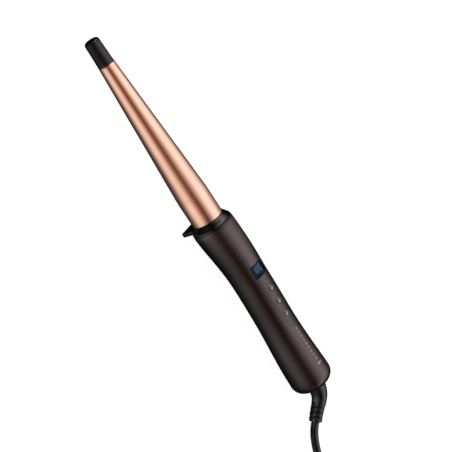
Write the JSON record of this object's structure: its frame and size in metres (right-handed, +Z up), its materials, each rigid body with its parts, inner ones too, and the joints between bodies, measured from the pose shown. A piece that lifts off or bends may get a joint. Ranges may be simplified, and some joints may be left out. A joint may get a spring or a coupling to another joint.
{
  "type": "curling wand",
  "caption": "Tapered hair curling wand with a coated barrel, cool tip, rest foot, digital handle with three buttons, and a swivel cord folded into a tied hank with its plug.",
  "frame": {"origin": "on the table, under the centre of the wand without its cord", "axes": "+X from the cool tip towards the cord end, +Z up with the display on top, the table at z = 0"},
  "size_m": [0.5383, 0.0596, 0.041],
  "materials": {
    "copper_coat": "gloss ceramic coating, peach copper",
    "tip_black": "heat resistant moulding, soft gloss",
    "gloss_black": "gloss",
    "plum_satin": "metallic satin lacquer, dark plum",
    "plum_panel": "metallic satin lacquer, dark plum",
    "rose_metal": "bright plated, rose silver",
    "lens_clear": "tinted clear window",
    "lcd_blue": "backlit liquid crystal panel",
    "diffuser_white": "light diffuser",
    "white_plastic": "matt",
    "dark_plastic": "matt",
    "amber_phenolic": "matt phenolic moulding",
    "aluminium": "extruded",
    "ceramic": "fired ceramic",
    "steel": "bright",
    "brass": "bright",
    "circuit_green": "solder resist",
    "yellow_film": "gloss",
    "blue_sleeve": "gloss",
    "red_plunger": "matt",
    "wire_white": "glass braid",
    "wire_yellow": "braid",
    "wire_brown": "wire insulation",
    "cord_rubber": "soft satin",
    "plug_rubber": "satin moulding"
  },
  "bodies": {
    "wand": {"cool_tip": "tip_black", "tip_insulator": "ceramic", "tip_screw": "steel", "barrel": "copper_coat", "heat_spreader_upper": "aluminium", "heat_spreader_lower": "aluminium", "heater_plate": "ceramic", "thermistor": "amber_phenolic", "thermal_fuse": "steel", "heater_leads": "wire_white", "sensor_leads": "wire_yellow", "barrel_carrier": "amber_phenolic", "barrel_grub_screws": "steel", "collar": "gloss_black", "rest_foot": "gloss_black", "handle_upper": "plum_satin", "handle_lower": "plum_satin", "handle_screws": "steel", "control_panel": "plum_panel", "display_lens": "lens_clear", "display_bezel": "dark_plastic", "lcd_glass": "lcd_blue", "backlight": "diffuser_white", "lcd_holder": "white_plastic", "pcb": "circuit_green", "pcb_screws": "steel", "mcu": "dark_plastic", "triac": "dark_plastic", "film_capacitor": "yellow_film", "bulk_capacitor": "blue_sleeve", "fuse_resistor": "blue_sleeve", "tact_switch_1": "dark_plastic", "tact_switch_2": "dark_plastic", "tact_switch_3": "dark_plastic", "swivel_seat": "dark_plastic", "brush_holder": "amber_phenolic", "brush_line": "brass", "brush_neutral": "brass", "mains_leads": "wire_brown", "power_cord": "cord_rubber", "cord_hank": "cord_rubber", "cord_tie": "dark_plastic", "cord_tail": "cord_rubber", "plug_body": "plug_rubber", "plug_pins": "steel"},
    "plus": {"button_plus": "rose_metal", "tact_plunger_1": "red_plunger"},
    "minus": {"button_minus": "rose_metal", "tact_plunger_2": "red_plunger"},
    "power": {"button_power": "rose_metal", "tact_plunger_3": "red_plunger"},
    "swivel": {"swivel_core": "gloss_black", "slip_ring_line": "brass", "slip_ring_neutral": "brass", "strain_relief": "cord_rubber"}
  },
  "joints": [
    {"name": "plus_press", "type": "slide", "parent": "wand", "child": "plus", "axis": [-0.0434, 0, -0.9991], "range_m": [0, 0.00035], "stiffness_N_per_m": 4000},
    {"name": "minus_press", "type": "slide", "parent": "wand", "child": "minus", "axis": [-0.0434, 0, -0.9991], "range_m": [0, 0.00035], "stiffness_N_per_m": 4000},
    {"name": "power_press", "type": "slide", "parent": "wand", "child": "power", "axis": [-0.0434, 0, -0.9991], "range_m": [0, 0.00035], "stiffness_N_per_m": 4000},
    {"name": "cord_swivel", "type": "hinge", "parent": "wand", "child": "swivel", "pos_m": [0.15262, 0, 0.01665], "axis": [-0.9991, 0, 0.0434], "continuous": true}
  ]
}
